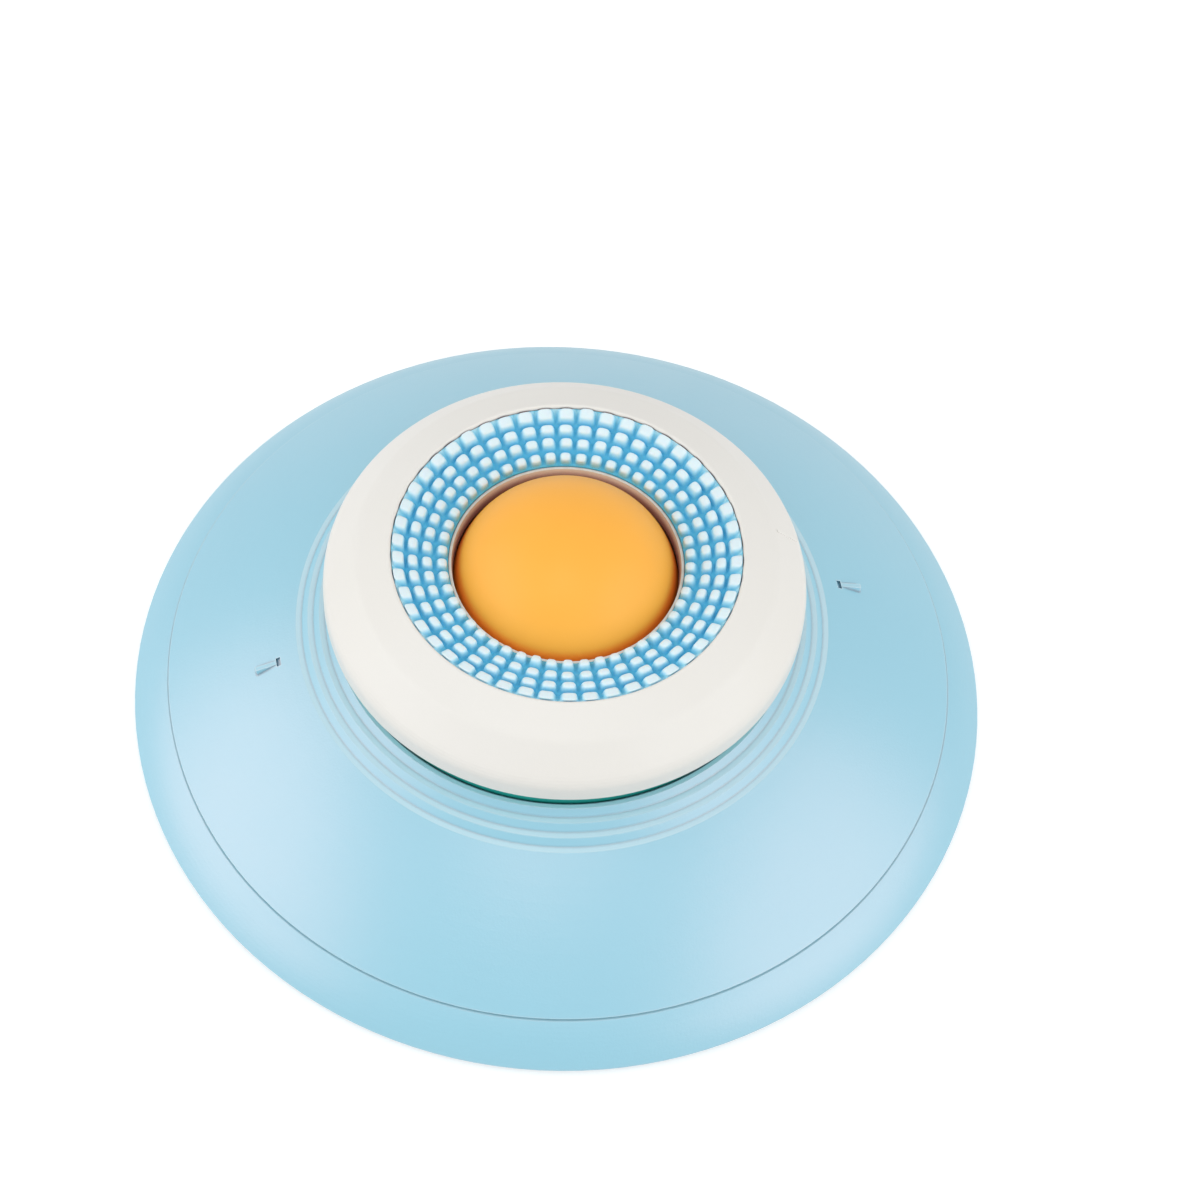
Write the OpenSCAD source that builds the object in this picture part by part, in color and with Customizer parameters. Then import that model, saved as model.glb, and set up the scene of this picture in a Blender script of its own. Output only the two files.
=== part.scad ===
// Lick toy with a rolling ball. A low round base holds a treat cup, and a twist-off ring carries a
// nubbed brush and keeps the ball in. Millimetres, +Z up, origin on the floor under the ball.

/* [Base] */
// Diameter of the base at its rim
base_d = 170; // [164:1:186]
// Radial width of the steep band below the seam
band_w = 6.9; // [6:0.1:8]
// Height of the seam between tray and cover
seam_z = 8.7; // [8:0.1:10]
// Open line left along the seam
seam_gap = 0.3; // [0.25:0.05:0.6]
// Wall of the tray and the cover
wall = 2.4; // [2:0.1:2.8]
// How far the cone bulges past a straight line
cone_crown = 0.7; // [0.3:0.1:1.2]
// How far the band bulges past a straight line
band_crown = 0.4; // [0.2:0.1:0.6]
// Number of small steps round the ring
step_count = 3; // [1:1:3]
// Radial width of a step
step_w = 2.3; // [2:0.05:2.6]
// Width of a step's flat tread
tread_w = 1.15; // [0.8:0.05:1.4]
// Height of a step's sloped riser
step_h = 1.5; // [1.2:0.05:1.7]
// Width of the land above the uppermost step
land_w = 1; // [0.8:0.05:1.4]
// Depth of the moat between the steps and the neck
moat_h = 1.3; // [1:0.1:1.6]
// Height of the neck above the uppermost step
neck_h = 5.7; // [5.5:0.1:6.5]
// Wall of the neck
neck_wall = 2.2; // [1.8:0.1:2.6]
// Angle of the index marks from the right-hand side
index_angle = 13.7; // [0:0.1:30]
// Length of an index bar
bar_l = 4.2; // [3:0.1:6]
// Width of an index bar along its top
bar_w = 0.9; // [0.6:0.1:1.2]
// Height of an index bar at its outer end
bar_h = 1.1; // [0.6:0.1:1.4]
// Width of the notch across an index bar's inner end
notch_w = 1.8; // [1.2:0.1:2.4]
// Depth of that notch
notch_h = 0.5; // [0.3:0.1:0.8]

/* [Feet and screws] */
// Number of foot pads, with a screw between each two
foot_count = 4; // [3:1:6]
// Diameter of a foot pad
foot_d = 16; // [12:0.5:18]
// Thickness of a foot pad
foot_t = 1.8; // [1.6:0.1:2.2]
// Depth that a pad sits in its pocket
foot_sink = 0.8; // [0.6:0.1:1]
// Diameter of the circle that the pads stand on
foot_circle_d = 134; // [126:1:136]
// Diameter of a screw's shank
screw_d = 2.7; // [2.4:0.1:3]
// Length of a screw under its head
screw_l = 10; // [8:0.5:11]
// Diameter of a screw's head
head_d = 5.6; // [5:0.1:6]
// Height of a screw's head
head_h = 2; // [1.6:0.1:2.2]
// Diameter of the circle that the screws stand on
screw_circle_d = 120; // [116:1:122]

/* [Lock ring] */
// Diameter of the lock ring
ring_d = 92.6; // [90:0.2:96]
// How far the ring overhangs its skirt
overhang = 3.3; // [3:0.1:3.8]
// Height of the ring's lower edge above the uppermost step
edge_lift = 4.4; // [4.2:0.1:4.8]
// Height of the ring's upright edge
edge_h = 5.9; // [5.4:0.1:6.4]
// Radial width of the outer slope
slope_w = 6.1; // [5.4:0.1:6.8]
// Height of the outer slope
slope_h = 6.3; // [5.8:0.1:6.8]
// Height of the inner slope up to the crest
crest_h = 3; // [2.6:0.1:3.4]
// Wall of the ring
ring_wall = 2.2; // [1.8:0.1:2.4]
// Wall of the ring's skirt
skirt_wall = 1.6; // [1.4:0.1:2]
// Space under the skirt in the moat
skirt_lift = 1.2; // [1:0.1:1.4]
// Height of the ring's index tick
tick_h = 0.2; // [0.1:0.05:0.4]
// Width of the ring's index tick
tick_w = 0.55; // [0.4:0.05:1]
// Number of bayonet lugs
lug_count = 4; // [3:1:4]
// How far a lug reaches
lug_reach = 1.4; // [1.2:0.1:1.6]
// Height of a lug
lug_h = 2; // [1.8:0.1:2.1]
// Angle that a lug spans
lug_angle = 22; // [16:1:24]
// Thickness of the seal round the skirt
seal_t = 0.8; // [0.7:0.05:1]

/* [Brush] */
// Diameter of the brush
brush_d = 66.4; // [65:0.2:68]
// Thickness of the brush's web
web_t = 1.6; // [1.4:0.1:1.8]
// Depth of the brush's pocket at the crest
pocket_h = 3.8; // [3.4:0.1:4.2]
// Rows of nubs
nub_rows = 4; // [3:1:5]
// Nubs in a row
nub_count = 50; // [40:1:54]
// Height of the nubs beside the ball
nub_inner_h = 1.9; // [1.5:0.1:2.6]
// Height of the nubs beside the crest
nub_outer_h = 2; // [1.4:0.1:2.6]
// Open space between two rows
row_gap = 0.55; // [0.45:0.05:0.7]
// Width of the channels between the columns of nubs
channel_w = 0.7; // [0.6:0.05:0.9]

/* [Ball and cup] */
// Diameter of the ball
ball_d = 44.4; // [42:0.2:46]
// Wall of the ball
ball_wall = 2; // [1.6:0.1:2.4]
// Chamfer along the ball's parting line
part_line = 0.2; // [0.1:0.05:0.3]
// Height of the ball above the crest
ball_show = 7.5; // [6.5:0.1:8.5]
// How much narrower than the ball the throat is, on each side
hold_in = 0.7; // [0.6:0.05:0.9]
// Radial flare of the lip above the throat
lip_flare = 0.4; // [0.2:0.05:0.6]
// Height of the lip above the throat
lip_h = 3; // [2.6:0.1:3.4]
// Wall of the cup
cup_wall = 2; // [1.6:0.1:2.2]
// Thickness of the cup's flange
flange_t = 1.5; // [1.2:0.1:1.8]
// Space between the tray's floor and the cup
cup_lift = 3.8; // [3:0.1:5]
// Space under the ball
under_ball = 4; // [3:0.1:4.5]
// Rounding between the cup's wall and floor
cup_round = 9; // [6:0.5:11]
// Number of fins that carry the ball
fin_count = 6; // [3:1:8]
// Thickness of a fin
fin_t = 2.4; // [1.6:0.1:3]

/* [Fits] */
// Gap between pieces that move past each other
run_gap = 0.3; // [0.25:0.05:0.4]
// Gap between pieces that are only dropped or pushed in
seat_gap = 0.1; // [0.05:0.05:0.15]
// Gap between the seal and the uppermost step
seal_gap = 0.3; // [0.25:0.05:0.4]
// Angle that unlocks the ring
unlock_angle = 40; // [30:1:42]

/* [Hidden] */
$fn = 96;
eps = 0.01;
pad_names = [for (i = [1:foot_count]) str("foot_pad_", i)];

// Colours
base_blue = [0.66, 0.85, 0.92];
ring_white = [0.93, 0.92, 0.90];
brush_blue = [0.25, 0.62, 0.86];
ball_orange = [0.98, 0.66, 0.24];
cup_white = [0.88, 0.89, 0.88];
seal_teal = [0.16, 0.62, 0.58];
pad_grey = [0.32, 0.34, 0.36];
screw_steel = [0.72, 0.72, 0.74];

// Rounds
edge_round = 0.5;
seam_round = 0.15;
slope_round = 5;
shoulder_round = 4.5;
foot_round = 1.6;
lower_round = 1;
round_steps = 5;
cup_steps = 12;
nub_round = 0.5;
nub_round_steps = 2;
crown_steps = 10;

// Heights, stacked from the tray's floor up through the cup and the ball, then down the ring
rim_lift = foot_t - foot_sink;
floor_z = rim_lift + wall;
cup_floor_z = floor_z + cup_lift + cup_wall;
ball_r = ball_d / 2;
ball_z = cup_floor_z + under_ball + ball_r;
crest_z = ball_z + ball_r - ball_show;
slope_z = crest_z - crest_h;
shoulder_z = slope_z - slope_h;
edge_z = shoulder_z - edge_h;
collar_z = edge_z - edge_lift;

// Ring and neck, worked out from the ring's edge inwards
ring_r = ring_d / 2;
skirt_r = ring_r - overhang;
skirt_in_r = skirt_r - skirt_wall;
neck_lug_r = skirt_in_r - run_gap;
neck_r = neck_lug_r - lug_reach;
ring_lug_r = neck_r + run_gap;
neck_in_r = neck_r - neck_wall;
neck_z = collar_z + neck_h;
moat_z = collar_z - moat_h;
skirt_z = moat_z + skirt_lift;

// Bayonet lugs: the ring's pass under the neck's
lug_inset = 0.2;
ring_lug_z = skirt_z + lug_inset;
neck_lug_z = ring_lug_z + lug_h + run_gap;
lug_pitch = 360 / lug_count;
lug_root = 1;
stop_angle = 3;
angle_gap = 1;

// Steps, worked out from the seal outwards
seal_r = skirt_r + seal_t;
moat_r = seal_r + seal_gap;
foot_r = moat_r + land_w + step_count * step_w;
foot_z = collar_z - step_count * step_h;
step_round = 0.2;
tread_fall = 0.15;

// Tray and cover
mark_start = 3.5;
notch_l = 0.8;
bar_side = 0.45;
base_r = base_d / 2;
seam_r = base_r - band_w;
seam_low = seam_z - seam_gap / 2;
seam_high = seam_z + seam_gap / 2;
rim_round = 0.8;
rim_z = rim_lift + rim_round;
rim_nose = 0.15;
band_angle = atan2(seam_low - rim_z, band_w);
cone_angle = atan2(foot_z - seam_high, seam_r - foot_r);
tray_in_r = seam_r - wall / sin(band_angle);
lap_h = 2.2;
lap_t = 1.4;
lap_r = tray_in_r - 2 * seat_gap;
floor_round = 1;
hollow_round = 2;
hollow_z = moat_z - wall;

// Screw posts: the tray's and the cover's meet at join_z
post_h = 6;
join_z = rim_lift + post_h;
counterbore_z = join_z - wall;
boss_d = screw_d + 2 * wall;
head_gap = 0.4;
shank_gap = 0.2;
screw_gap = 0.05;
post_d = head_d + 1.5 * wall;

// Ring's slopes and the rim that clamps the cup
slope_r = ring_r - slope_w;
under_rise = 0.6;
roof_z = slope_z - ring_wall;
roof_rise = 1.4;
pocket_wall_draft = 1;
tick_inset = 0.9;
clamp_z = neck_z + flange_t + run_gap;
clamp_r = neck_r - seat_gap;
clamp_t = 1.6;
clamp_top_z = roof_z + roof_rise / 2;

// Throat and lip
throat_r = ball_r - hold_in;
throat_z = ball_z + sqrt(pow(ball_r, 2) - pow(throat_r - run_gap, 2));
lip_r = throat_r + lip_flare;
lip_z = throat_z + lip_h;
lip_land = 0.5;
lip_wall = 1;
throat_h = 2;
throat_flare = 0.9;

// Brush and its pocket
brush_r = brush_d / 2;
pocket_in_r = lip_r + lip_land;
brush_in_r = pocket_in_r + seat_gap;
pocket_r = brush_r + seat_gap;
pocket_out_z = crest_z - pocket_h;
web_proud = 0.2;
pocket_in_z = lip_z - web_t + web_proud;
pocket_angle = atan2(pocket_out_z - pocket_in_z, pocket_r - pocket_in_r);
row_pitch = (brush_r - brush_in_r) / nub_rows;
nub_taper = 0.15;
channel_lift = 0.12;

// Cup
cup_gap = 0.4;
cup_r = neck_in_r - cup_gap;
cup_in_r = cup_r - cup_wall;
fin_inset = 2;
fin_r = ball_r - fin_inset;
fin_top_z = ball_z - ball_r / 2;
fin_hub_r = 4;

// Seal and the spigot inside the ball
seal_low_gap = 0.6;
seal_draft = 0.2;
seal_round = 0.35;
spigot_h = 2;
spigot_wall = 1.2;

function unit(v) = v / norm(v);

// Points round the corner q between p and s, with a radius that its sides leave room for
function corner(p, q, s, r, steps) =
    let (u = unit(p - q), v = unit(s - q),
         half = acos(max(-1, min(1, u * v))) / 2,
         reach = min(r / tan(half), 0.45 * min(norm(p - q), norm(s - q))),
         rr = reach * tan(half),
         c = q + unit(u + v) * rr / sin(half),
         a = q + u * reach - c,
         b = q + v * reach - c,
         start = atan2(a.y, a.x),
         turn = atan2(b.y, b.x) - start,
         sweep = turn > 180 ? turn - 360 : turn < -180 ? turn + 360 : turn)
    [for (i = [0:steps]) c + rr * [cos(start + sweep * i / steps), sin(start + sweep * i / steps)]];

// Outline from [radius, height, rounding] points
function rounded(pts, steps) =
    let (n = len(pts), flat = [for (p = pts) [p.x, p.y]])
    [for (i = [0:n - 1])
        for (q = pts[i].z > 0 ? corner(flat[(i + n - 1) % n], flat[i], flat[(i + 1) % n], pts[i].z, steps)
                              : [flat[i]]) q];

// Points between a and b on a gentle curve that bulges to the right of the way from a to b
function bulge(a, b, sag) =
    let (side = unit([b.y - a.y, a.x - b.x]))
    [for (i = [1:crown_steps - 1]) let (t = i / crown_steps)
        concat(a + (b - a) * t + side * sag * 4 * t * (1 - t), 0)];

function with_round(p, r) = [p.x, p.y, r];

// Height of the line from a to b at radius r
function line_z(a, b, r) = a.y + (b.y - a.y) * (r - a.x) / (b.x - a.x);

module revolve(pts, steps = round_steps) {
    rotate_extrude() polygon(rounded(pts, steps));
}

module sector(r0, r1, z0, z1, a0, a1) {
    rotate([0, 0, a0]) rotate_extrude(angle = a1 - a0) translate([r0, z0]) square([r1 - r0, z1 - z0]);
}

module around(count, circle_d, first = 0) {
    for (i = [0:count - 1]) rotate([0, 0, first + i * 360 / count])
        translate([circle_d / 2, 0, 0]) children();
}

// Whatever is drawn along +X, on the two index directions
module index_places() {
    for (a = [0, 180]) rotate([0, 0, index_angle + a]) children();
}

// Steps from the foot of the cone inwards: a tread that falls a little outwards, and a sloped riser
function step_points() = [for (i = [0:step_count - 1])
    let (r = foot_r - i * step_w, z = foot_z + i * step_h)
    for (p = [[r, z, step_round], [r - tread_w, z + tread_fall, 0]]) p];

// Height of the crowned cone at radius r
function cone_z(r) =
    let (t = (seam_r - r) / (seam_r - foot_r))
    line_z([seam_r, seam_high], [foot_r, foot_z], r) + cone_crown * 4 * t * (1 - t) / cos(cone_angle);

// Bar with sloped sides, level with the cone at its inner end and proud of it at its outer end
module index_bar() {
    r0 = foot_r + mark_start + notch_l;
    fall = cone_z(r0) - cone_z(r0 + bar_l) - bar_h;
    sink = 2 * bar_h;
    top = bar_w / 2;
    bottom = top + bar_side * sink;
    translate([r0, 0, cone_z(r0)]) rotate([0, atan2(fall, bar_l), 0]) rotate([90, 0, 90])
        linear_extrude(norm([bar_l, fall]))
            polygon([[-bottom, -sink], [bottom, -sink], [top, 0], [-top, 0]]);
}

// Cut across the bar's inner end
module index_notch() {
    r0 = foot_r + mark_start;
    r1 = r0 + notch_l;
    rotate([90, 0, 0]) linear_extrude(notch_w, center = true)
        polygon([[r0, cone_z(r0) - notch_h], [r1, cone_z(r1) - notch_h], [r1, cone_z(r0) + notch_h],
                 [r0, cone_z(r0) + notch_h]]);
}

module cover_form() {
    seam = [seam_r, seam_high];
    foot = [foot_r, foot_z];
    revolve(concat(
        [[0, seam_high, 0], with_round(seam, seam_round)],
        bulge(seam, foot, cone_crown),
        step_points(),
        [[moat_r + land_w, collar_z, step_round], [moat_r, collar_z, step_round], [moat_r, moat_z, 0],
         [neck_r, moat_z, 0],
         [neck_r, neck_z, edge_round], [0, neck_z, 0]]));
}

module cover_hollow() {
    drop = wall / cos(cone_angle);
    seam = [seam_r, seam_high - drop];
    foot = [foot_r, foot_z - drop];
    shoulder_r = foot.x + (hollow_z - foot.y) * (seam.x - foot.x) / (seam.y - foot.y);
    lap_in_r = lap_r - lap_t;
    revolve([
        [0, seam_high - lap_h - 1, 0], [lap_in_r, seam_high - lap_h - 1, 0],
        [lap_in_r, line_z(seam, foot, lap_in_r), 0], [shoulder_r, hollow_z, hollow_round],
        [neck_in_r, hollow_z, 0], [neck_in_r, neck_z + 1, 0], [0, neck_z + 1, 0]]);
}

module neck_lugs() {
    lug_end = lug_angle / 2;
    shut_stop = -lug_end - angle_gap;
    open_stop = unlock_angle + lug_end + angle_gap;
    root_r = neck_r - lug_root;
    top_z = neck_lug_z + lug_h;
    for (i = [0:lug_count - 1]) rotate([0, 0, index_angle + i * lug_pitch]) {
        sector(root_r, neck_lug_r, neck_lug_z, top_z, shut_stop - stop_angle, lug_end);
        sector(root_r, neck_lug_r, ring_lug_z, neck_lug_z + eps, shut_stop - stop_angle, shut_stop);
        sector(root_r, neck_lug_r, ring_lug_z, top_z, open_stop, open_stop + stop_angle);
    }
}

module base_cover() {
    color(base_blue) difference() {
        union() {
            difference() {
                union() {
                    cover_form();
                    revolve([[lap_r - lap_t, seam_high - lap_h, 0], [lap_r, seam_high - lap_h, 0],
                             [lap_r, seam_high + eps, 0], [lap_r - lap_t, seam_high + eps, 0]]);
                }
                cover_hollow();
                index_places() index_notch();
            }
            index_places() index_bar();
            intersection() {
                cover_form();
                around(foot_count, screw_circle_d) translate([0, 0, join_z])
                    cylinder(d = boss_d, h = collar_z);
            }
            around(foot_count, screw_circle_d) translate([0, 0, join_z]) cylinder(d = boss_d, h = seam_high);
            neck_lugs();
        }
        around(foot_count, screw_circle_d) translate([0, 0, join_z - 1])
            cylinder(d = screw_d + 2 * screw_gap, h = screw_l - wall + 2);
    }
}

module base_tray() {
    rim = [base_r + rim_nose, rim_z];
    seam = [seam_r, seam_low];
    slant = 1 / tan(band_angle);
    floor_r = tray_in_r + (seam_low - floor_z) * slant;
    color(base_blue) difference() {
        union() {
            revolve(concat(
                [[0, rim_lift, 0], [base_r - rim_round, rim_lift, rim_round], with_round(rim, rim_round / 2)],
                bulge(rim, seam, band_crown),
                [with_round(seam, seam_round), [tray_in_r, seam_low, 0], [floor_r, floor_z, floor_round],
                 [0, floor_z, 0]]));
            around(foot_count, screw_circle_d) translate([0, 0, rim_lift])
                cylinder(d = post_d, h = post_h);
        }
        around(foot_count, foot_circle_d, 180 / foot_count) translate([0, 0, rim_lift - 1])
            cylinder(d = foot_d + 2 * seat_gap, h = foot_sink + 1);
        around(foot_count, screw_circle_d) {
            translate([0, 0, rim_lift - 1])
                cylinder(d = head_d + 2 * head_gap, h = counterbore_z - rim_lift + 1);
            translate([0, 0, rim_lift]) cylinder(d = screw_d + 2 * shank_gap, h = join_z);
        }
    }
}

module foot_pad(i) {
    color(pad_grey) rotate([0, 0, (i + 0.5) * 360 / foot_count]) translate([foot_circle_d / 2, 0, 0])
        revolve([[0, 0, 0], [foot_d / 2, 0, edge_round], [foot_d / 2, foot_t, 0], [0, foot_t, 0]]);
}

module tray_screws() {
    slot_w = 0.8;
    color(screw_steel) around(foot_count, screw_circle_d) difference() {
        revolve([[0, counterbore_z - head_h, 0], [head_d / 2, counterbore_z - head_h, head_h / 3],
                 [head_d / 2, counterbore_z, 0], [screw_d / 2, counterbore_z, 0],
                 [screw_d / 2, counterbore_z + screw_l - screw_d / 2, 0], [0, counterbore_z + screw_l, 0]]);
        for (a = [0, 90]) rotate([0, 0, a]) translate([-head_d / 3, -slot_w / 2, counterbore_z - head_h - 1])
            cube([head_d / 1.5, slot_w, 1 + head_h / 2]);
    }
}

module treat_cup() {
    bottom_z = cup_floor_z - cup_wall;
    color(cup_white) difference() {
        union() {
            revolve([[0, bottom_z, 0], [cup_r, bottom_z, cup_round + cup_wall], [cup_r, neck_z, 0],
                     [neck_r, neck_z, 0], [neck_r, neck_z + flange_t, edge_round],
                     [cup_in_r, neck_z + flange_t, edge_round], [cup_in_r, cup_floor_z, cup_round],
                     [0, cup_floor_z, 0]], cup_steps);
            translate([0, 0, cup_floor_z - eps]) cylinder(r = fin_hub_r, h = under_ball);
            for (i = [0:fin_count - 1]) rotate([0, 0, (i + 0.5) * 360 / fin_count])
                translate([0, -fin_t / 2, cup_floor_z - eps]) cube([fin_r, fin_t, fin_top_z - cup_floor_z]);
        }
        translate([0, 0, ball_z]) sphere(r = ball_r + run_gap);
    }
}

module ring_form() {
    roof_r = slope_r - ring_wall / 2;
    inner_r = pocket_r + ring_wall;
    revolve([
        [pocket_r, crest_z, edge_round], [slope_r, slope_z, slope_round],
        [ring_r, shoulder_z, shoulder_round], [ring_r, edge_z, foot_round],
        [skirt_r, edge_z + under_rise, 0], [skirt_r, skirt_z, 0], [skirt_in_r, skirt_z, 0],
        [skirt_in_r, roof_z - ring_wall, 0], [roof_r, roof_z, lower_round],
        [inner_r, roof_z + roof_rise, lower_round],
        [inner_r - pocket_wall_draft, pocket_out_z - ring_wall, lower_round],
        [lip_r + lip_wall, pocket_in_z - ring_wall, edge_round],
        [throat_r + throat_flare, throat_z - throat_h, 0],
        [throat_r, throat_z, 0], [lip_r, lip_z, 0], [pocket_in_r, lip_z, 0],
        [pocket_in_r, pocket_in_z, 0], [pocket_r, pocket_out_z, 0]]);
}

module lock_ring() {
    color(ring_white) union() {
        ring_form();
        revolve([[clamp_r - clamp_t, clamp_z, 0], [clamp_r, clamp_z, 0],
                 [clamp_r, clamp_top_z, 0], [clamp_r - clamp_t, clamp_top_z, 0]]);
        intersection() {
            translate([0, 0, tick_h]) ring_form();
            rotate([0, 0, index_angle]) translate([slope_r + tick_inset, -tick_w / 2, shoulder_z])
                cube([slope_w - 2 * tick_inset, tick_w, crest_z - shoulder_z]);
        }
        for (i = [0:lug_count - 1]) rotate([0, 0, index_angle + i * lug_pitch])
            sector(ring_lug_r, skirt_in_r + skirt_wall / 2, ring_lug_z, ring_lug_z + lug_h,
                   -lug_angle / 2, lug_angle / 2);
    }
}

module seal_ring() {
    top_z = edge_z + seat_gap;
    low_z = moat_z + seal_low_gap;
    color(seal_teal) revolve([
        [skirt_r, top_z, 0], [seal_r - seal_draft, top_z, seal_round], [seal_r, collar_z, 0],
        [seal_r, low_z, seal_round], [skirt_r, low_z, 0]]);
}

module brush_ring() {
    pocket_in = [pocket_in_r, pocket_in_z];
    pocket_out = [pocket_r, pocket_out_z];
    seat_in = [brush_in_r, line_z(pocket_in, pocket_out, brush_in_r)];
    seat_out = [brush_r, line_z(pocket_in, pocket_out, brush_r)];
    web_in = seat_in + [0, web_t];
    web_out = seat_out + [0, web_t];
    tip_in = web_in + [0, nub_inner_h];
    tip_out = web_out + [0, nub_outer_h];
    ridge_points = [for (k = [0:nub_rows - 1])
        let (r0 = brush_in_r + k * row_pitch + row_gap / 2, r1 = r0 + row_pitch - row_gap,
             t0 = r0 + nub_taper, t1 = r1 - nub_taper)
        for (p = [[r0, line_z(web_in, web_out, r0), 0], [t0, line_z(tip_in, tip_out, t0), nub_round],
                  [t1, line_z(tip_in, tip_out, t1), nub_round], [r1, line_z(web_in, web_out, r1), 0]]) p];
    color(brush_blue) difference() {
        revolve(concat(
            [with_round(seat_in, 0), with_round(web_in, 0)], ridge_points,
            [with_round(web_out, 0), with_round(seat_out, 0)]), nub_round_steps);
        for (i = [0:nub_count - 1]) rotate([0, 0, (i + 0.5) * 360 / nub_count])
            translate([brush_in_r, 0, web_in.y + channel_lift]) rotate([0, -pocket_angle, 0])
                translate([-1, -channel_w / 2, 0])
                    cube([brush_r - brush_in_r + 2, channel_w, 2 * nub_inner_h]);
    }
}

module half_shell() {
    difference() {
        sphere(r = ball_r);
        sphere(r = ball_r - ball_wall);
        translate([-ball_d, -ball_d, -2 * ball_d]) cube(2 * ball_d);
        revolve([[ball_r - part_line - eps, -eps, 0], [ball_r + part_line, -eps, 0],
                 [ball_r + part_line, 2 * part_line, 0]]);
    }
}

module ball_upper_half() {
    color(ball_orange) translate([0, 0, ball_z]) half_shell();
}

module ball_lower_half() {
    spigot_r = sqrt(pow(ball_r - ball_wall, 2) - pow(spigot_h, 2)) - seat_gap;
    color(ball_orange) translate([0, 0, ball_z]) union() {
        mirror([0, 0, 1]) half_shell();
        revolve([[spigot_r - spigot_wall, -spigot_h, 0], [ball_r - ball_wall / 2, -spigot_h, 0],
                 [ball_r - ball_wall / 2, 0, 0], [spigot_r, 0, 0], [spigot_r, spigot_h, 0],
                 [spigot_r - spigot_wall, spigot_h, 0]]);
    }
}

base_tray();
base_cover();
tray_screws();
treat_cup();
lock_ring();
seal_ring();
brush_ring();
ball_upper_half();
ball_lower_half();
for (i = [0:foot_count - 1]) foot_pad(i);
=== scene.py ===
import math
import bmesh
import bpy
from mathutils import Matrix, Vector


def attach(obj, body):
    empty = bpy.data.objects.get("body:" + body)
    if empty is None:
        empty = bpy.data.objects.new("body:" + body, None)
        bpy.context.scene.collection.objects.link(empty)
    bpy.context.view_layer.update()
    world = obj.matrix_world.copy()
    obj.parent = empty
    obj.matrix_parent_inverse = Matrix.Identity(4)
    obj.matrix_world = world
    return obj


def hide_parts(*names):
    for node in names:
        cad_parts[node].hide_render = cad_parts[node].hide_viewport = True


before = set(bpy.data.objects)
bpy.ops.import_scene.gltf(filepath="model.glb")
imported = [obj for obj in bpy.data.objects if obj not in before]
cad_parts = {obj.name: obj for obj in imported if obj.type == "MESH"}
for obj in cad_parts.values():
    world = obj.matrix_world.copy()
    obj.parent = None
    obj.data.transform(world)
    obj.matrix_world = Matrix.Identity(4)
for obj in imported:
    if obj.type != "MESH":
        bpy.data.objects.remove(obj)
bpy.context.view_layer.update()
mm = 0.001
white = (1, 1, 1, 1)


def linear(r, g, b):
    # 0-255 screen colour to scene linear
    def one(c):
        c /= 255.0
        return c / 12.92 if c <= 0.04045 else ((c + 0.055) / 1.055) ** 2.4
    return (one(r), one(g), one(b), 1.0)


# Camera fitted to the photograph's ellipses
cameraSet = {
    "place": (0.0, -0.3044, 0.5035),
    "aim": (0.00703, 0.00509, 0.025),
    "lens": 86.97, "sensor": 36.0, "clip": 0.01,
    "roll": 4.88,                                 # degrees
}


def makeCamera():
    data = bpy.data.cameras.new("camera")
    data.lens = cameraSet["lens"]
    data.sensor_width = cameraSet["sensor"]
    data.clip_start = cameraSet["clip"]
    cam = bpy.data.objects.new("camera", data)
    bpy.context.scene.collection.objects.link(cam)
    place = Vector(cameraSet["place"])
    back = (place - Vector(cameraSet["aim"])).normalized()
    right = Vector((0, 0, 1)).cross(back).normalized()
    up = back.cross(right)
    roll = math.radians(cameraSet["roll"])
    rolledRight = right * math.cos(roll) + up * math.sin(roll)
    rolledUp = up * math.cos(roll) - right * math.sin(roll)
    turn = Matrix((rolledRight, rolledUp, back)).transposed().to_4x4()
    cam.matrix_world = Matrix.Translation(place) @ turn
    bpy.context.scene.camera = cam
    print("camera placed")


# Small helpers for node trees

def feed(links, socket, value):
    # another node's socket is linked, a plain value is set
    if isinstance(value, bpy.types.NodeSocket):
        links.new(value, socket)
    else:
        socket.default_value = value


def maths(nodes, links, operation, *values):
    node = nodes.new("ShaderNodeMath")
    node.operation = operation
    for socket, value in zip(node.inputs, values):
        feed(links, socket, value)
    return node.outputs[0]


def vectorMaths(nodes, links, operation, *values):
    node = nodes.new("ShaderNodeVectorMath")
    node.operation = operation
    for socket, value in zip(node.inputs, values):
        feed(links, socket, value)
    return node.outputs


def ranged(nodes, links, value, low, high, toLow, toHigh):
    node = nodes.new("ShaderNodeMapRange")
    for label, number in (("Value", value), ("From Min", low), ("From Max", high),
                          ("To Min", toLow), ("To Max", toHigh)):
        feed(links, node.inputs[label], number)
    return node.outputs["Result"]


def mixed(nodes, links, share, first, second):
    node = nodes.new("ShaderNodeMix")
    node.data_type = "RGBA"
    colourA, colourB, colourOut = 6, 7, 2         # the Mix node's colour sockets
    feed(links, node.inputs["Factor"], share)
    feed(links, node.inputs[colourA], first)
    feed(links, node.inputs[colourB], second)
    return node.outputs[colourOut]


def mixShaders(nodes, links, share, first, second):
    node = nodes.new("ShaderNodeMixShader")
    for socket, value in zip(node.inputs, (share, first, second)):
        links.new(value, socket)
    return node.outputs[0]


def noise(nodes, links, place, scale, detail, rough=0.5):
    node = nodes.new("ShaderNodeTexNoise")
    for label, value in (("Vector", place), ("Scale", scale), ("Detail", detail), ("Roughness", rough)):
        feed(links, node.inputs[label], value)
    return node.outputs["Fac"]


def objectPlace(nodes):
    return nodes.new("ShaderNodeTexCoord").outputs["Object"]


def parted(nodes, links, vector):
    node = nodes.new("ShaderNodeSeparateXYZ")
    links.new(vector, node.inputs[0])
    return node.outputs


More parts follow.
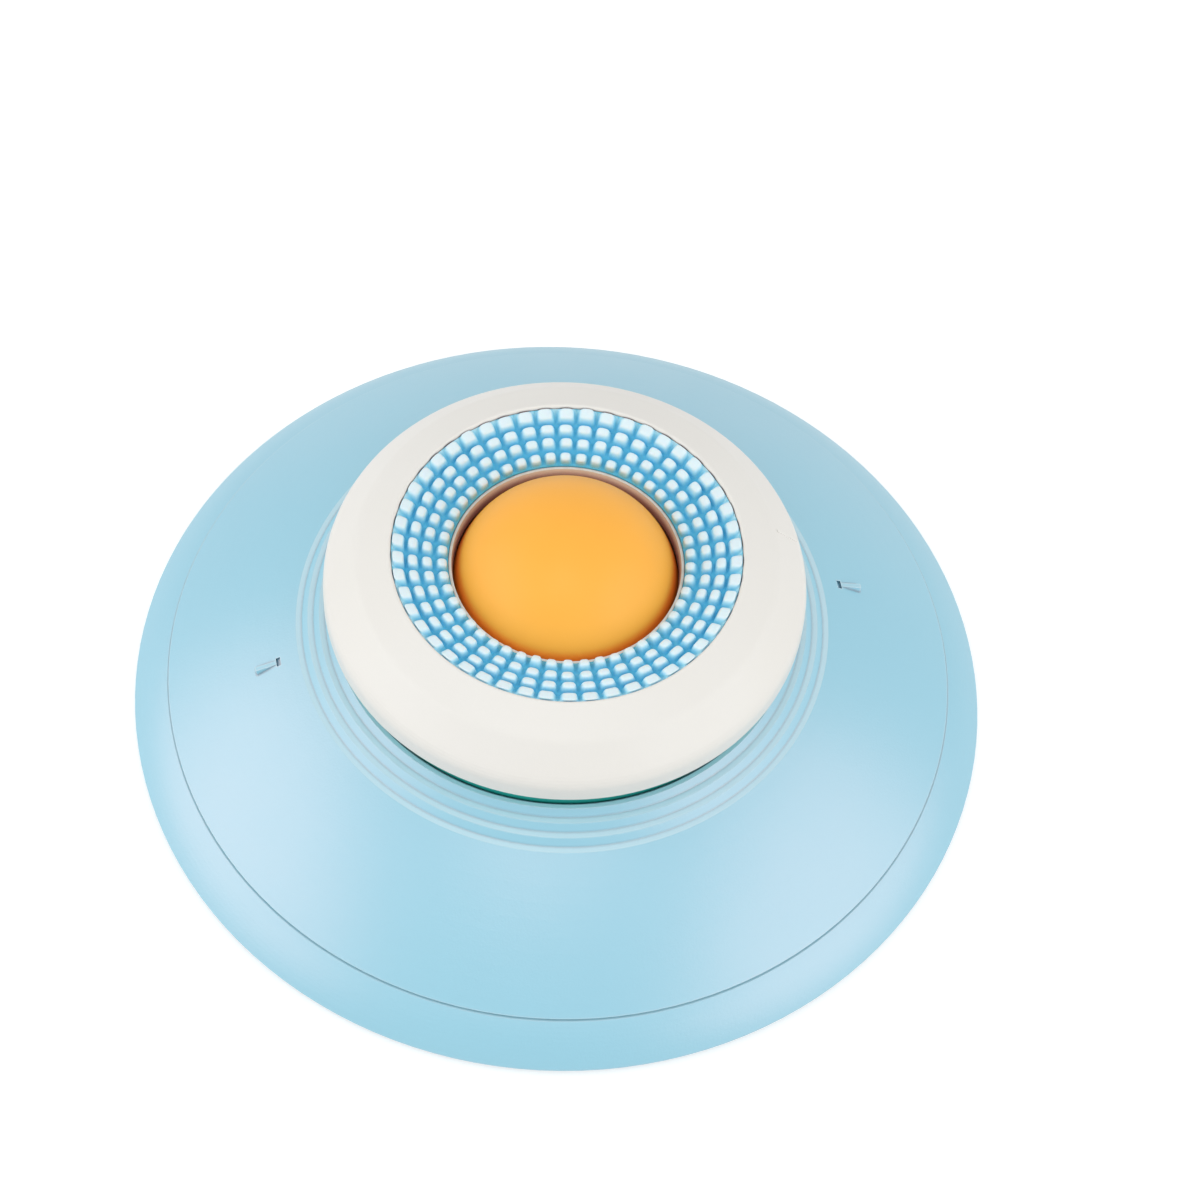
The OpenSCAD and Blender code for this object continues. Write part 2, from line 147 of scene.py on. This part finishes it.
# Wide soft boxes at both sides, a high fill in front, and a room that is brighter round the horizon
lightSet = {
    "horizon": 0.93, "zenith": 0.87,              # the room's strength
    "roomColour": (0.8, 0.8, 0.8, 1),
    "aim": (0, 0, 0.03),
    "lamps": {
        "left": {"azimuth": -170, "elevation": 24, "away": 0.85, "size": (1.1, 0.65), "power": 2.6},
        "right": {"azimuth": -22, "elevation": 25, "away": 0.85, "size": (1.05, 0.65), "power": 2.3},
        "front": {"azimuth": -95, "elevation": 66, "away": 1.0, "size": (0.6, 0.6), "power": 1.1},
    },
    "floorColour": (0.62, 0.62, 0.62, 1), "floorRough": 0.9, "floorHalf": 3.0,
    "floorLift": 0.5,                             # light added where the floor is looked at
}


def makeLamp(name, spec):
    data = bpy.data.lights.new(name, "AREA")
    data.shape = "ELLIPSE"
    data.size, data.size_y = spec["size"]
    data.energy = spec["power"]
    lamp = bpy.data.objects.new(name, data)
    bpy.context.scene.collection.objects.link(lamp)
    a, e = math.radians(spec["azimuth"]), math.radians(spec["elevation"])
    ray = Vector((math.cos(e) * math.cos(a), math.cos(e) * math.sin(a), math.sin(e)))
    lamp.location = Vector(lightSet["aim"]) + ray * spec["away"]
    lamp.rotation_euler = ray.to_track_quat("Z", "Y").to_euler()


def seenDirectly(nodes, links):
    # 1 for the camera, mirrors and glass, 0 for light that falls on the object
    path = nodes.new("ShaderNodeLightPath").outputs
    shiny = maths(nodes, links, "MAXIMUM", path["Is Camera Ray"], path["Is Glossy Ray"])
    return maths(nodes, links, "MAXIMUM", shiny, path["Is Transmission Ray"])


def makeRoom():
    world = bpy.data.worlds.new("studio")
    bpy.context.scene.world = world
    world.use_nodes = True
    nodes, links = world.node_tree.nodes, world.node_tree.links
    nodes.clear()
    out = nodes.new("ShaderNodeOutputWorld")
    facing = nodes.new("ShaderNodeTexCoord").outputs["Generated"]
    height = parted(nodes, links, facing)["Z"]
    room = nodes.new("ShaderNodeBackground")
    room.inputs["Color"].default_value = lightSet["roomColour"]
    strength = ranged(nodes, links, height, 0.0, 1.0, lightSet["horizon"], lightSet["zenith"])
    links.new(strength, room.inputs["Strength"])
    seen = nodes.new("ShaderNodeBackground")      # plain white where the camera looks past the floor
    seen.inputs["Color"].default_value = white
    either = mixShaders(nodes, links, seenDirectly(nodes, links), room.outputs[0], seen.outputs[0])
    links.new(either, out.inputs[0])


def makeFloor():
    bm = bmesh.new()
    bmesh.ops.create_grid(bm, x_segments=2, y_segments=2, size=lightSet["floorHalf"])
    mesh = bpy.data.meshes.new("floor")
    bm.to_mesh(mesh)
    bm.free()
    floor = bpy.data.objects.new("floor", mesh)
    bpy.context.scene.collection.objects.link(floor)
    mat, nodes, links, shader = newFinish("paleFloor")
    shader.inputs["Base Color"].default_value = lightSet["floorColour"]
    shader.inputs["Roughness"].default_value = lightSet["floorRough"]
    shader.inputs["Emission Color"].default_value = white
    # white where it is looked at, and the shadow stays
    lift = maths(nodes, links, "MULTIPLY", seenDirectly(nodes, links), lightSet["floorLift"])
    links.new(lift, shader.inputs["Emission Strength"])
    # nothing from below, so the pads can be looked at
    below = nodes.new("ShaderNodeNewGeometry").outputs["Backfacing"]
    clear = nodes.new("ShaderNodeBsdfTransparent").outputs[0]
    oneSided = mixShaders(nodes, links, below, shader.outputs[0], clear)
    links.new(oneSided, nodes["Material Output"].inputs["Surface"])
    floor.data.materials.append(mat)


def newFinish(name):
    mat = bpy.data.materials.new(name)
    mat.use_nodes = True
    nodes, links = mat.node_tree.nodes, mat.node_tree.links
    return mat, nodes, links, nodes["Principled BSDF"]


makeCamera()
bpy.context.scene.view_settings.view_transform = "Standard"
makeRoom()
makeFloor()
for lampName, lampSpec in lightSet["lamps"].items():
    makeLamp(lampName, lampSpec)
print("stage made")


# Shader groups that several finishes share

def newGroup(name, takes, gives):
    group = bpy.data.node_groups.new(name, "ShaderNodeTree")
    for label, kind, value in takes:
        socket = group.interface.new_socket(label, in_out="INPUT", socket_type=kind)
        socket.default_value = value
    for label, kind in gives:
        group.interface.new_socket(label, in_out="OUTPUT", socket_type=kind)
    inner = group.nodes.new("NodeGroupInput")
    outer = group.nodes.new("NodeGroupOutput")
    return group, inner.outputs, outer.inputs


# Spark-eroded mould texture: pits and a finer grain, and a gloss that varies along
grainSet = {
    "detail": 3.0, "rough": 0.6,                  # of the grain's noise
    "pitScale": 0.55,                             # share of the grain's scale
    "cloudScale": 45.0, "cloudDetail": 4.0, "cloudRough": 0.55,
    "cloudShare": 0.7, "grainShare": 0.3,         # of the gloss
    "span": (0.32, 0.68),                         # noise values that give the lowest and highest gloss
}


def makeMouldGrain(spec):
    group, takes, gives = newGroup("mouldGrain", [
        ("Scale", "NodeSocketFloat", 2200.0), ("Pits", "NodeSocketFloat", 0.4),
        ("Rough Low", "NodeSocketFloat", 0.4), ("Rough High", "NodeSocketFloat", 0.5)],
        [("Height", "NodeSocketFloat"), ("Roughness", "NodeSocketFloat")])
    nodes, links = group.nodes, group.links
    place = objectPlace(nodes)
    grain = noise(nodes, links, place, takes["Scale"], spec["detail"], spec["rough"])
    pits = nodes.new("ShaderNodeTexVoronoi")
    pits.feature = "SMOOTH_F1"
    links.new(place, pits.inputs["Vector"])
    links.new(maths(nodes, links, "MULTIPLY", takes["Scale"], spec["pitScale"]), pits.inputs["Scale"])
    pitted = maths(nodes, links, "MULTIPLY", pits.outputs["Distance"], takes["Pits"])
    links.new(maths(nodes, links, "ADD", grain, pitted), gives["Height"])
    cloud = noise(nodes, links, place, spec["cloudScale"], spec["cloudDetail"], spec["cloudRough"])
    fleck = maths(nodes, links, "ADD", maths(nodes, links, "MULTIPLY", cloud, spec["cloudShare"]),
                  maths(nodes, links, "MULTIPLY", grain, spec["grainShare"]))
    rough = ranged(nodes, links, fleck, *spec["span"], takes["Rough Low"], takes["Rough High"])
    links.new(rough, gives["Roughness"])
    return group


# Slow drift of the plastic's tone, as pigment flows in the mould
driftSet = {"detail": 3.0, "span": (0.35, 0.7)}


def makeToneDrift(spec):
    group, takes, gives = newGroup("toneDrift", [
        ("Color", "NodeSocketColor", (0.8, 0.8, 0.8, 1)), ("Deeper", "NodeSocketColor", (0.7, 0.7, 0.7, 1)),
        ("Scale", "NodeSocketFloat", 14.0), ("Amount", "NodeSocketFloat", 0.5)],
        [("Color", "NodeSocketColor")])
    nodes, links = group.nodes, group.links
    cloud = noise(nodes, links, objectPlace(nodes), takes["Scale"], spec["detail"])
    share = ranged(nodes, links, cloud, *spec["span"], 0.0, takes["Amount"])
    links.new(mixed(nodes, links, share, takes["Color"], takes["Deeper"]), gives["Color"])
    return group


# Painted shade in corners and creases, and paler edges that are partly rubbed wear and partly painted
# highlight
shadeAndGlintSet = {
    "shadeSamples": 8, "bevelSamples": 6,
    "bevel": 0.00045,                             # radius that counts as an edge, metres
    "bent": (0.9, 0.995),                         # cosine from a sharp edge to none
    "clear": (0.7, 0.95),                         # openness from none to full edge rubbing and painted highlight
}


def makeCreaseShadeEdgeGlint(spec):
    group, takes, gives = newGroup("creaseShadeEdgeGlint", [
        ("Color", "NodeSocketColor", (0.8, 0.8, 0.8, 1)), ("Crease", "NodeSocketColor", (0.3, 0.3, 0.3, 1)),
        ("Crease Width", "NodeSocketFloat", 0.002), ("Crease Amount", "NodeSocketFloat", 0.5),
        ("Crease Low", "NodeSocketFloat", 0.25), ("Crease High", "NodeSocketFloat", 0.85),
        ("Edge", "NodeSocketColor", white), ("Edge Amount", "NodeSocketFloat", 0.4)],
        [("Color", "NodeSocketColor")])
    nodes, links = group.nodes, group.links
    # painted shade: the crease colour is mixed in where ambient occlusion finds a crease
    shade = nodes.new("ShaderNodeAmbientOcclusion")
    shade.samples = spec["shadeSamples"]
    links.new(takes["Crease Width"], shade.inputs["Distance"])
    openness = shade.outputs["AO"]
    deep = ranged(nodes, links, openness, takes["Crease Low"], takes["Crease High"],
                  takes["Crease Amount"], 0.0)
    # paler convex edges: partly rubbed wear, partly painted highlight
    bevel = nodes.new("ShaderNodeBevel")
    bevel.samples = spec["bevelSamples"]
    bevel.inputs["Radius"].default_value = spec["bevel"]
    facing = nodes.new("ShaderNodeNewGeometry").outputs["Normal"]
    cosine = vectorMaths(nodes, links, "DOT_PRODUCT", bevel.outputs["Normal"], facing)["Value"]
    bent = ranged(nodes, links, cosine, *spec["bent"], 1.0, 0.0)
    clear = ranged(nodes, links, openness, *spec["clear"], 0.0, 1.0)
    edge = maths(nodes, links, "MULTIPLY", bent, clear)
    rubAndGlint = maths(nodes, links, "MULTIPLY", edge, takes["Edge Amount"])
    creaseShaded = mixed(nodes, links, deep, takes["Color"], takes["Crease"])
    links.new(mixed(nodes, links, rubAndGlint, creaseShaded, takes["Edge"]), gives["Color"])
    return group


groups = {
    "grain": makeMouldGrain(grainSet),
    "drift": makeToneDrift(driftSet),
    "crease": makeCreaseShadeEdgeGlint(shadeAndGlintSet),
}
print("shader groups made")


# Finishes

def useGroup(nodes, key, values):
    node = nodes.new("ShaderNodeGroup")
    node.node_tree = groups[key]
    for label, value in values.items():
        node.inputs[label].default_value = value
    return node


def addGrain(nodes, links, shader, spec):
    grain = useGroup(nodes, "grain", {"Scale": spec["grain"], "Pits": spec["pits"],
                                      "Rough Low": spec["rough"][0], "Rough High": spec["rough"][1]})
    links.new(grain.outputs["Roughness"], shader.inputs["Roughness"])
    return grain.outputs["Height"]


def driftingTone(nodes, spec):
    drift = useGroup(nodes, "drift", {"Color": linear(*spec["colour"]), "Deeper": linear(*spec["deeper"]),
                                      "Scale": spec["drift"], "Amount": spec["driftAmount"]})
    return drift.outputs["Color"]


def addBump(nodes, links, shader, height, deep):
    bump = nodes.new("ShaderNodeBump")
    bump.inputs["Distance"].default_value = deep
    links.new(height, bump.inputs["Height"])
    links.new(bump.outputs["Normal"], shader.inputs["Normal"])


def mouldedPlastic(name, spec):
    mat, nodes, links, shader = newFinish(name)
    height = addGrain(nodes, links, shader, spec)
    addBump(nodes, links, shader, height, spec["bump"])
    tone = driftingTone(nodes, spec)
    crease = useGroup(nodes, "crease", {
        "Crease": linear(*spec["crease"]), "Crease Width": spec["creaseWidth"],
        "Crease Amount": spec["creaseAmount"],
        "Edge": linear(*spec["edge"]), "Edge Amount": spec["edgeAmount"]})
    if "creaseSpan" in spec:
        low, high = spec["creaseSpan"]
        crease.inputs["Crease Low"].default_value = low
        crease.inputs["Crease High"].default_value = high
    if "creaseInside" in spec:
        # painted crease shade only nearer to the toy's axis than this
        flat = vectorMaths(nodes, links, "MULTIPLY", objectPlace(nodes), (1, 1, 0))["Vector"]
        reach = vectorMaths(nodes, links, "LENGTH", flat)["Value"]
        inside = maths(nodes, links, "LESS_THAN", reach, spec["creaseInside"])
        amount = maths(nodes, links, "MULTIPLY", inside, spec["creaseAmount"])
        links.new(amount, crease.inputs["Crease Amount"])
    if "paintedTreadLight" in spec:
        # painted light: level faces above the seam are made paler, as if lit from above
        normal = nodes.new("ShaderNodeNewGeometry").outputs["True Normal"]
        level = ranged(nodes, links, parted(nodes, links, normal)["Z"], *spec["level"], 0.0, 1.0)
        place = parted(nodes, links, objectPlace(nodes))
        high = maths(nodes, links, "GREATER_THAN", place["Z"], spec["treadFrom"])
        paintedLight = maths(nodes, links, "MULTIPLY", level, high)
        tone = mixed(nodes, links, paintedLight, tone, linear(*spec["paintedTreadLight"]))
        # painted shade in creases, paler below the seam height
        creaseShadeTone = mixed(nodes, links, high, linear(*spec["seam"]), linear(*spec["crease"]))
        links.new(creaseShadeTone, crease.inputs["Crease"])
    links.new(tone, crease.inputs["Color"])
    links.new(crease.outputs["Color"], shader.inputs["Base Color"])
    shader.inputs["IOR"].default_value = spec["ior"]
    shader.inputs["Specular IOR Level"].default_value = spec["gloss"]
    if "sheenTint" in spec:
        shader.inputs["Specular Tint"].default_value = spec["sheenTint"]
    if "coat" in spec:
        weight, rough = spec["coat"]
        shader.inputs["Coat Weight"].default_value = weight
        shader.inputs["Coat Roughness"].default_value = rough
    return mat


sharpFrom = math.radians(30)                      # edges bent more than this stay sharp


def wear(node, mat):
    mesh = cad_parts[node].data
    mesh.materials.clear()
    mesh.materials.append(mat)
    for face in mesh.polygons:
        face.use_smooth = True
    mesh.set_sharp_from_angle(angle=sharpFrom)


# Pale blue base: tray and cover share one finish
baseSet = {
    "colour": (121, 208, 231), "deeper": (116, 204, 228),
    "paintedTreadLight": (178, 231, 246), "treadFrom": 0.021,    # painted light: paler level faces, above this height
    "level": (0.93, 0.985),                           # upward part of the normal, from sloped to level
    # crease: painted shade; edge: paler edges, partly rubbed wear and partly painted highlight
    "crease": (74, 144, 168), "creaseWidth": 0.0006, "creaseAmount": 0.95, "creaseSpan": (0.8, 0.97),
    "seam": (150, 206, 222),                          # painted crease shade below that height, paler
    "edge": (224, 243, 249), "edgeAmount": 0.5,
    "grain": 2400.0, "pits": 0.35, "bump": 0.00003, "rough": (0.34, 0.40),
    "drift": 14.0, "driftAmount": 0.6, "ior": 1.9, "gloss": 1.0,
    "coat": (0.3, 0.42),                              # weight, roughness
    "sheenTint": (1.0, 0.52, 0.44, 1.0),
}
basePlastic = mouldedPlastic("basePlastic", baseSet)
wear("base_tray", basePlastic)
wear("base_cover", basePlastic)
print("base dressed")

# Warm white ring, with reddish painted shade only round the throat and paler edges that are partly painted
# highlight
ringSet = {
    "colour": (232, 230, 225), "deeper": (229, 226, 219),
    "crease": (124, 62, 54), "creaseWidth": 0.0015, "creaseAmount": 0.8, "creaseInside": 0.036,
    "edge": (250, 249, 246), "edgeAmount": 0.3,
    "grain": 3200.0, "pits": 0.2, "bump": 0.00002, "rough": (0.34, 0.42),
    "drift": 22.0, "driftAmount": 0.5, "ior": 1.5, "gloss": 0.3,
}
wear("lock_ring", mouldedPlastic("ringPlastic", ringSet))
print("ring dressed")

# Orange ball, with redder painted shade where it dips into the throat and paler edges that are partly painted
# highlight
ballSet = {
    "colour": (255, 182, 70), "deeper": (253, 173, 58),
    "crease": (255, 98, 10), "creaseWidth": 0.0025, "creaseAmount": 0.6,
    "edge": (255, 205, 130), "edgeAmount": 0.2,
    "grain": 1500.0, "pits": 0.25, "bump": 0.00002, "rough": (0.40, 0.48),
    "drift": 30.0, "driftAmount": 0.6, "ior": 1.48, "gloss": 0.35,
}
ballPlastic = mouldedPlastic("ballPlastic", ballSet)
wear("ball_upper_half", ballPlastic)
wear("ball_lower_half", ballPlastic)
print("ball dressed")

# White cup under the ball, with painted shade in its creases and paler edges that are partly painted
# highlight
cupSet = {
    "colour": (228, 229, 226), "deeper": (220, 221, 217),
    "crease": (150, 148, 140), "creaseWidth": 0.003, "creaseAmount": 0.5,
    "edge": (240, 241, 238), "edgeAmount": 0.3,
    "grain": 2600.0, "pits": 0.3, "bump": 0.00002, "rough": (0.35, 0.48),
    "drift": 25.0, "driftAmount": 0.6, "ior": 1.5, "gloss": 0.5,
}
wear("treat_cup", mouldedPlastic("cupPlastic", cupSet))
print("cup dressed")

# Teal seal: matt silicone with a blotchy tone, painted shade in its creases and paler edges that are partly
# painted highlight
sealSet = {
    "colour": (26, 160, 149), "deeper": (18, 138, 130),
    "crease": (6, 66, 70), "creaseWidth": 0.0015, "creaseAmount": 0.5,
    "edge": (110, 205, 195), "edgeAmount": 0.3,
    "grain": 3600.0, "pits": 0.5, "bump": 0.00002, "rough": (0.5, 0.62),
    "drift": 60.0, "driftAmount": 0.8, "ior": 1.42, "gloss": 0.5,
}
wear("seal_ring", mouldedPlastic("sealSilicone", sealSet))
print("seal dressed")

# Grey rubber pads, scuffed, with painted shade in their creases; the paler scuffed edges are partly painted
# highlight
padSet = {
    "colour": (86, 90, 94), "deeper": (70, 73, 77),
    "crease": (40, 41, 43), "creaseWidth": 0.001, "creaseAmount": 0.6,
    "edge": (118, 121, 124), "edgeAmount": 0.6,
    "grain": 1800.0, "pits": 0.9, "bump": 0.00006, "rough": (0.7, 0.88),
    "drift": 180.0, "driftAmount": 0.9, "ior": 1.45, "gloss": 0.4,
    "count": 4,
}
padRubber = mouldedPlastic("padRubber", padSet)
for i in range(padSet["count"]):
    wear("foot_pad_%d" % (i + 1), padRubber)
print("pads dressed")

# Steel screws with turned heads
screwSet = {
    "colour": (186, 187, 190), "deeper": (140, 141, 145), "drift": 400.0, "driftAmount": 0.7,
    "grain": 2600.0, "pits": 0.1, "rough": (0.26, 0.42), "bump": 0.00002,
    "circle": 60.0,                               # radius that the heads stand on, mm
    "rings": 26000.0, "ringShare": 0.3,           # turning marks: radians per metre, share of the bump
}


def turnedSteel(name, spec):
    mat, nodes, links, shader = newFinish(name)
    height = addGrain(nodes, links, shader, spec)
    # the heads stand on both axes, so the rings are drawn round the nearest head's own middle
    folded = vectorMaths(nodes, links, "ABSOLUTE", objectPlace(nodes))["Vector"]
    place = parted(nodes, links, folded)
    far = maths(nodes, links, "MAXIMUM", place["X"], place["Y"])
    near = maths(nodes, links, "MINIMUM", place["X"], place["Y"])
    off = maths(nodes, links, "SUBTRACT", far, spec["circle"] * mm)
    squares = maths(nodes, links, "ADD", maths(nodes, links, "MULTIPLY", off, off),
                    maths(nodes, links, "MULTIPLY", near, near))
    reach = maths(nodes, links, "SQRT", squares)
    turns = maths(nodes, links, "SINE", maths(nodes, links, "MULTIPLY", reach, spec["rings"]))
    marks = maths(nodes, links, "MULTIPLY", turns, spec["ringShare"])
    addBump(nodes, links, shader, maths(nodes, links, "ADD", marks, height), spec["bump"])
    links.new(driftingTone(nodes, spec), shader.inputs["Base Color"])
    shader.inputs["Metallic"].default_value = 1.0
    return mat


wear("tray_screws", turnedSteel("screwSteel", screwSet))
print("screws dressed")


# Nubbed silicone brush, one closed mesh
brushSet = {
    "columns": 50, "rows": 4, "side": 6,          # side: points along each edge of a nub's cell
    "innerR": 22.5, "outerR": 33.2,               # mm
    "seatIn": 43.613, "seatOut": 46.275,          # underside, on the pocket's floor
    "web": 1.6,
    "tips": (47.3, 47.9, 48.7, 49.5),             # height of each row's tips
    "lean": (0.45, 0.1, 0.0, 0.0),                # how far each row leans towards the ball
    "sway": 0.3, "uneven": 0.09,                  # how much single nubs bend and differ in height
    "flush": 0.8, "flushTo": 0.97,                # how far the last row reaches out to this share of its cell
    "rimRise": 0.7,                               # how far the channels rise towards the rim
    "rimGap": 0.02,                               # how far all nubs stay inside the rims
    "rowGap": 0.55, "channel": 0.7,
    "square": (3.0, 3.0, 3.2, 4.5),               # 2 is round, more is squarer
    # share of the nub's half width, share of its height
    "profile": ((1.22, 0.0), (1.12, 0.06), (1.03, 0.2), (0.93, 0.5), (0.84, 0.74), (0.73, 0.89),
                (0.54, 0.97), (0.27, 1.0)),
    "crown": 1.01,                                # height of the middle of the top
    "weld": 0.004, "sharp": 65,                   # mm, degrees
    # colour by height: painted shade in the grooves, rising to a painted highlight on the tips
    "grooveShadeToTipGlint": ((0.0, (86, 188, 226)), (0.14, (118, 204, 234)), (0.5, (160, 220, 241)),
              (0.8, (194, 231, 245)), (0.95, (222, 240, 247))),
    "waver": 0.16, "waverScale": 320.0, "waverDetail": 2.0,    # how unevenly the colours change
    "grain": 2800.0, "pits": 0.3, "rough": (0.40, 0.52), "bump": 0.00002, "ior": 1.42,
    "soft": 0.2, "softRadius": (0.5, 0.8, 1.0), "softScale": 0.0006,
}


def cellWalk(n):
    # points round the unit cell, anticlockwise; u is radial, v is round the ring
    walk = []
    for k in range(n):
        walk.append((-1 + 2 * k / n, -1))
    for k in range(n):
        walk.append((1, -1 + 2 * k / n))
    for k in range(n):
        walk.append((1 - 2 * k / n, 1))
    for k in range(n):
        walk.append((-1, 1 - 2 * k / n))
    return walk


def rounded(u, v, power):
    # the same direction, drawn in to a rounded square
    size = (abs(u) ** power + abs(v) ** power) ** (1 / power)
    return u / size, v / size


def uneven(k):
    # repeatable number from -0.5 to 0.5
    return math.sin(k * 12.9898) * 43758.5453 % 1.0 - 0.5


def makeBrushMesh(spec):
    bm = bmesh.new()
    layer = bm.verts.layers.float.new("rise")
    slope = (spec["seatOut"] - spec["seatIn"]) / (spec["outerR"] - spec["innerR"])
    pitch = (spec["outerR"] - spec["innerR"]) / spec["rows"]
    halfR = pitch / 2
    step = 2 * math.pi / spec["columns"]
    n = spec["side"]
    walk = cellWalk(n)

    def seatZ(r):
        return spec["seatIn"] + slope * (r - spec["innerR"])

    def put(r, angle, z, rise):
        vert = bm.verts.new((r * math.cos(angle) * mm, r * math.sin(angle) * mm, z * mm))
        vert[layer] = rise
        return vert

    for row in range(spec["rows"]):
        last = row == spec["rows"] - 1
        mid = spec["innerR"] + (row + 0.5) * pitch
        nubR = (pitch - spec["rowGap"]) / 2
        nubV = (mid * step - spec["channel"]) / 2
        tall = spec["tips"][row] - seatZ(mid) - spec["web"]
        for column in range(spec["columns"]):
            at = column * step
            seed = 3 * (row * spec["columns"] + column)
            leanR = spec["lean"][row] + spec["sway"] * uneven(seed + 1)
            leanV = spec["sway"] * uneven(seed + 2)
            tallHere = tall * (1 + spec["uneven"] * uneven(seed + 3))

            def filled(r):
                # share of the nub's height that the channel beside it has risen
                return spec["rimRise"] * ((r - mid + halfR) / pitch) ** 2 if last else 0.0

            def level(r, high):
                return seatZ(r) + spec["web"] + tallHere * high + tall * filled(r) * (1 - high)

            cell = []
            for u, v in walk:
                r = mid + u * halfR
                cell.append(put(r, at + v * step / 2, level(r, 0.0), filled(r)))
            loops = [cell]
            for grow, high in spec["profile"]:
                loop = []
                for u, v in walk:
                    a, b = rounded(u, v, spec["square"][row])
                    reach = nubR * grow
                    if last and a > 0:
                        reach += (halfR * spec["flushTo"] - reach) * spec["flush"]
                    r = max(mid + a * reach - leanR * high, spec["innerR"] + spec["rimGap"])
                    r = min(r, spec["outerR"] - spec["rimGap"])
                    turn = (b * nubV * grow + leanV * high) / mid
                    loop.append(put(r, at + turn, level(r, high), max(high, filled(r))))
                loops.append(loop)
            topR = mid - leanR
            top = put(topR, at + leanV / mid, level(topR, spec["crown"]), 1.0)
            for low, high in zip(loops, loops[1:]):
                for k in range(len(walk)):
                    j = (k + 1) % len(walk)
                    bm.faces.new((low[k], low[j], high[j], high[k]))
            for k in range(len(walk)):
                bm.faces.new((loops[-1][k], loops[-1][(k + 1) % len(walk)], top))
    # rim walls and underside
    count = spec["columns"] * n
    rimTop = spec["web"] + tall * spec["rimRise"]
    rims = []
    for r, z in ((spec["innerR"], spec["web"]), (spec["innerR"], 0.0), (spec["outerR"], 0.0),
                 (spec["outerR"], rimTop)):
        rims.append([put(r, (k / n - 0.5) * step, seatZ(r) + z, 0.0) for k in range(count)])
    for a, b in zip(rims, rims[1:]):
        for k in range(count):
            j = (k + 1) % count
            bm.faces.new((a[k], b[k], b[j], a[j]))
    bmesh.ops.remove_doubles(bm, verts=bm.verts, dist=spec["weld"] * mm)
    bmesh.ops.recalc_face_normals(bm, faces=bm.faces)
    for face in bm.faces:
        face.smooth = True
    mesh = bpy.data.meshes.new("brushRing")
    bm.to_mesh(mesh)
    bm.free()
    mesh.set_sharp_from_angle(angle=math.radians(spec["sharp"]))
    return mesh


def brushSilicone(name, spec):
    mat, nodes, links, shader = newFinish(name)
    height = addGrain(nodes, links, shader, spec)
    addBump(nodes, links, shader, height, spec["bump"])
    rise = nodes.new("ShaderNodeAttribute")
    rise.attribute_name = "rise"
    cloud = noise(nodes, links, objectPlace(nodes), spec["waverScale"], spec["waverDetail"])
    waver = maths(nodes, links, "MULTIPLY", maths(nodes, links, "SUBTRACT", cloud, 0.5), spec["waver"])
    # painted shade low in the grooves and painted highlight on the tips, read from the rise attribute
    ramp = nodes.new("ShaderNodeValToRGB")
    elements = ramp.color_ramp.elements
    while len(elements) < len(spec["grooveShadeToTipGlint"]):
        elements.new(0.5)
    for element, (at, colour) in zip(elements, spec["grooveShadeToTipGlint"]):
        element.position = at
        element.color = linear(*colour)
    links.new(maths(nodes, links, "ADD", rise.outputs["Fac"], waver), ramp.inputs["Fac"])
    links.new(ramp.outputs["Color"], shader.inputs["Base Color"])
    shader.inputs["IOR"].default_value = spec["ior"]
    shader.inputs["Subsurface Weight"].default_value = spec["soft"]
    shader.inputs["Subsurface Radius"].default_value = spec["softRadius"]
    shader.inputs["Subsurface Scale"].default_value = spec["softScale"]
    return mat


brush = bpy.data.objects.new("brush_nubs", makeBrushMesh(brushSet))
bpy.context.scene.collection.objects.link(brush)
brush.data.materials.append(brushSilicone("brushSilicone", brushSet))
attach(brush, "ring")
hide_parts("brush_ring")
print("brush made,", len(brush.data.polygons), "faces")
